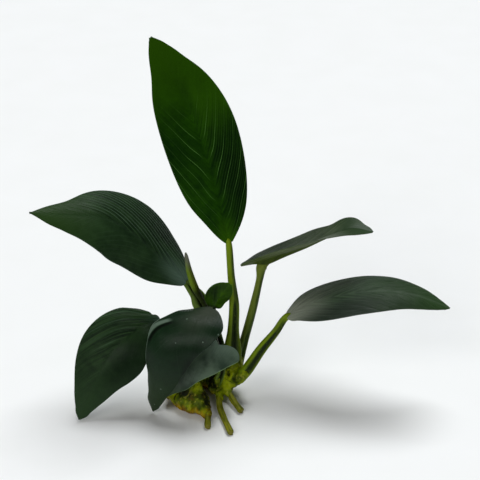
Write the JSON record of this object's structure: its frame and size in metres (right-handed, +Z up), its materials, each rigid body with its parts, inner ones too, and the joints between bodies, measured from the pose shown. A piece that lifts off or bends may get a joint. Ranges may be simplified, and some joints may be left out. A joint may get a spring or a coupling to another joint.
{
  "type": "anubias plant",
  "caption": "Bare-rooted anubias aquarium plant: a creeping rhizome with trimmed roots and pointed oval leaves on upright stalks, resting as picked.",
  "frame": {"origin": "in the flat underside of the rhizome, on the surface that the plant rests on, about halfway along the rhizome", "axes": "+Z up; +X to the right of the picture, along the widest spread of the leaves; +Y away from the viewer"},
  "size_m": [0.1652, 0.0593, 0.1485],
  "materials": {
    "tall_blade": "satin leaf, mid green, with fine paler veins",
    "dark_blade": "glossy leathery leaf, dark green, with fine side veins",
    "young_leaf": "satin young leaf, bright green",
    "stalk": "satin stalk, yellow-green, shaded darker along one side",
    "rhizome": "lumpy creeping stem, yellow-green with brown leaf scars",
    "root": "smooth thick root, olive yellow, trimmed"
  },
  "bodies": {
    "root": {"blade_tall": "tall_blade", "blade_left": "dark_blade", "blade_low_left": "dark_blade", "blade_front": "dark_blade", "blade_under": "dark_blade", "blade_small": "young_leaf", "blade_upper_right": "dark_blade", "blade_right": "dark_blade", "stalk_tall": "stalk", "stalk_left": "stalk", "stalk_low_left": "stalk", "stalk_front": "stalk", "stalk_under": "stalk", "stalk_small": "stalk", "stalk_upper_right": "stalk", "stalk_right": "stalk", "new_leaf_roll": "young_leaf", "rhizome": "rhizome", "root_front": "root", "root_middle": "root", "root_right": "root", "root_back": "root", "root_back_left": "root"}
  },
  "joints": []
}
